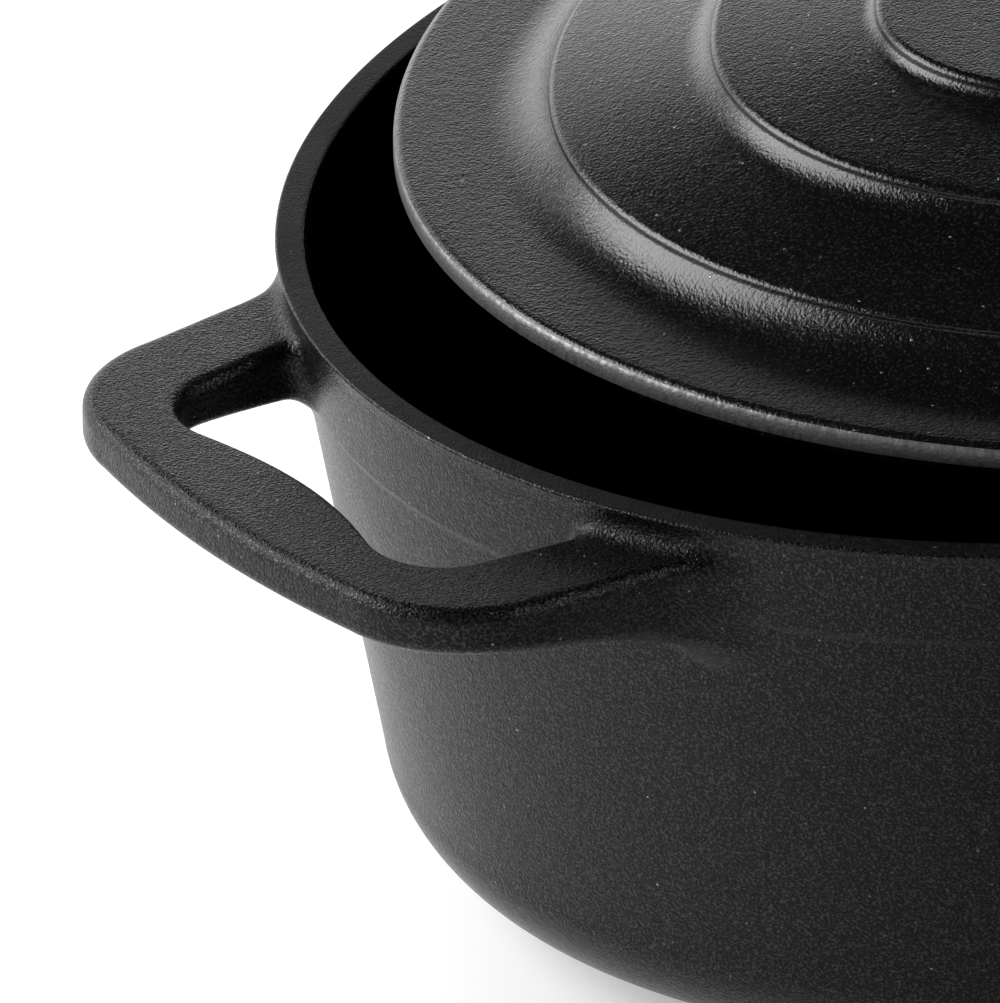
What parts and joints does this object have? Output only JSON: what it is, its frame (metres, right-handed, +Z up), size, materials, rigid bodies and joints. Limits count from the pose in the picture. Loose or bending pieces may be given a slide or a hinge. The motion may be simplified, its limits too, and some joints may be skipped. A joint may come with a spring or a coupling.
{
  "type": "cast iron roaster",
  "caption": "Oval cast iron roaster with flat loop handles cast in one with the pot and a stepped, domed lid with a turned knob, lying ajar on the rim.",
  "frame": {"origin": "centre of the pot's flat base, on the surface it stands on", "axes": "+X along the oval's length, through both loop handles; +Y across its width; +Z up, out of the pot's mouth"},
  "size_m": [0.3952, 0.2635, 0.1736],
  "materials": {
    "seasoned_cast_iron": "matte sand-cast, seasoned",
    "seasoned_cast_iron_lid": "matte sand-cast, seasoned, brushed in rings",
    "blackened_iron_knob": "satin, blackened",
    "stainless_steel": "satin"
  },
  "bodies": {
    "pot": {"pot_body": "seasoned_cast_iron"},
    "lid": {"lid": "seasoned_cast_iron_lid", "lid_knob": "blackened_iron_knob", "knob_screw": "stainless_steel", "knob_washer": "stainless_steel"}
  },
  "joints": [
    {"name": "lid_lift", "type": "slide", "parent": "pot", "child": "lid", "axis": [0, 0, 1], "range_m": [0, 0.15]}
  ]
}
